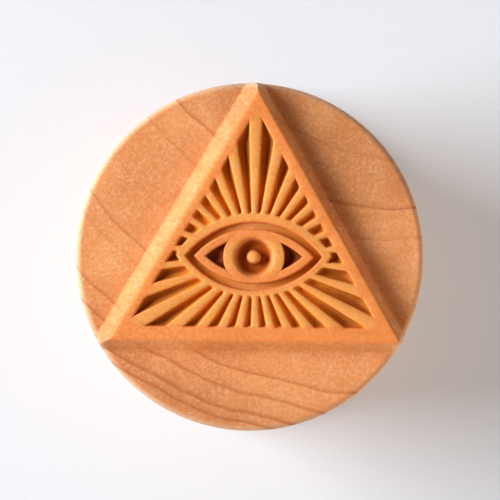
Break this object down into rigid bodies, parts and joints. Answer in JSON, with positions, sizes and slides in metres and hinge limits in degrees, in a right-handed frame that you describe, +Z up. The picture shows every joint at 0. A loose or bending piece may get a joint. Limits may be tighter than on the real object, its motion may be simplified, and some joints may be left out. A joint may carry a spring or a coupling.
{
  "type": "hand stamp",
  "caption": "Round wooden hand stamp for clay: an end-grain die carved with a raised triangle, rays and an eye, dowelled and glued to a turned grip with a finger groove.",
  "frame": {"origin": "middle of the flat end that the stamp stands on", "axes": "+Z up along the turned axis and out of the carved face; +Y from the eye to the triangle's top corner; +X to the right as the carved face is looked at"},
  "size_m": [0.04, 0.04, 0.032],
  "materials": {
    "end_grain_maple": "bare carved end grain",
    "turned_maple": "sanded, lightly oiled",
    "beech_dowel": "bare, fluted"
  },
  "bodies": {
    "root": {"carved_die": "end_grain_maple", "turned_grip": "turned_maple", "dowel_left": "beech_dowel", "dowel_right": "beech_dowel"}
  },
  "joints": []
}
